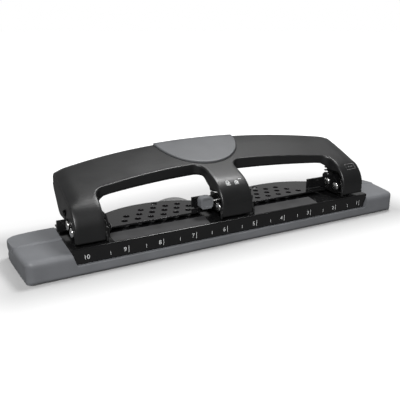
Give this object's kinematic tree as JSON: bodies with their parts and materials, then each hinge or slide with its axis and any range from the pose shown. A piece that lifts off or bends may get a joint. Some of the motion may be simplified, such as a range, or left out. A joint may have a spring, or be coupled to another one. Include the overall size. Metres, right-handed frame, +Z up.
{
  "type": "three hole punch",
  "caption": "Desktop three hole punch: hinged arched handle over sprung punches, long grey base with a ruler edge and a chip tray.",
  "frame": {"origin": "on the table, at the centre of the whole object's bounding box", "axes": "+X along the punch to the user's right, +Y away from the user towards the handle's bar, +Z up"},
  "size_m": [0.315, 0.0782, 0.0654],
  "materials": {
    "grey_housing": "fine moulded texture, mid grey",
    "black_handle": "fine satin moulded texture, black",
    "insert_plastic": "satin moulded, blue grey",
    "tray_plastic": "moulded, dark grey",
    "black_steel": "satin black powder coat on sheet steel",
    "plated_steel": "bright zinc plated",
    "tool_steel": "ground tool steel",
    "spring_steel": "drawn wire",
    "foot_rubber": "moulded rubber",
    "knob_plastic": "fine moulded texture, mid grey"
  },
  "bodies": {
    "base": {"base_housing": "grey_housing", "base_channel": "black_steel", "guide_plate_left": "black_steel", "guide_plate_right": "black_steel", "foot_left_front": "foot_rubber", "foot_left_rear": "foot_rubber", "foot_right_front": "foot_rubber", "foot_right_rear": "foot_rubber", "base_screw_left_front": "plated_steel", "base_screw_left_rear": "plated_steel", "base_screw_right_front": "plated_steel", "base_screw_right_rear": "plated_steel", "bracket_left": "black_steel", "die_left": "tool_steel", "fulcrum_pin_left": "plated_steel", "fulcrum_clip_left": "black_steel", "return_spring_left": "spring_steel", "bracket_rivet_left_1": "plated_steel", "bracket_rivet_left_2": "plated_steel", "bracket_centre": "black_steel", "die_centre": "tool_steel", "fulcrum_pin_centre": "plated_steel", "fulcrum_clip_centre": "black_steel", "return_spring_centre": "spring_steel", "bracket_rivet_centre_1": "plated_steel", "bracket_rivet_centre_2": "plated_steel", "bracket_right": "black_steel", "die_right": "tool_steel", "fulcrum_pin_right": "plated_steel", "fulcrum_clip_right": "black_steel", "return_spring_right": "spring_steel", "bracket_rivet_right_1": "plated_steel", "bracket_rivet_right_2": "plated_steel"},
    "handle": {"handle_shell": "black_handle", "handle_insert": "insert_plastic", "lever_left": "black_steel", "lever_centre": "black_steel", "lever_right": "black_steel"},
    "punch_left": {"punch_left": "tool_steel", "cross_pin_left": "plated_steel", "cross_pin_clip_left": "black_steel"},
    "punch_centre": {"punch_centre": "tool_steel", "cross_pin_centre": "plated_steel", "cross_pin_clip_centre": "black_steel"},
    "punch_right": {"punch_right": "tool_steel", "cross_pin_right": "plated_steel", "cross_pin_clip_right": "black_steel"},
    "lock": {"lock_knob": "knob_plastic", "lock_bar": "black_steel"},
    "tray": {"chip_tray": "tray_plastic"}
  },
  "joints": [
    {"name": "handle_hinge", "type": "hinge", "parent": "base", "child": "handle", "pos_m": [0, -0.02915, 0.027], "axis": [-1, 0, 0], "range_deg": [0, 18], "stiffness_Nm_per_rad": 0.35, "springref_deg": -34.38, "deforming": ["return_spring_left", "return_spring_centre", "return_spring_right"]},
    {"name": "punch_left_slide", "type": "slide", "parent": "base", "child": "punch_left", "axis": [0, 0, -1], "range_m": [0, 0.0034]},
    {"name": "punch_centre_slide", "type": "slide", "parent": "base", "child": "punch_centre", "axis": [0, 0, -1], "range_m": [0, 0.0034]},
    {"name": "punch_right_slide", "type": "slide", "parent": "base", "child": "punch_right", "axis": [0, 0, -1], "range_m": [0, 0.0034]},
    {"name": "lock_slide", "type": "slide", "parent": "base", "child": "lock", "axis": [-1, 0, 0], "range_m": [0, 0.006]},
    {"name": "chip_tray_slide", "type": "slide", "parent": "base", "child": "tray", "axis": [0, 1, 0], "range_m": [0, 0.045]}
  ],
  "couplings": [
    {"joint": "punch_left_slide", "follows": "handle_hinge", "m_per_rad": 0.0105},
    {"joint": "punch_centre_slide", "follows": "handle_hinge", "m_per_rad": 0.0105},
    {"joint": "punch_right_slide", "follows": "handle_hinge", "m_per_rad": 0.0105}
  ]
}
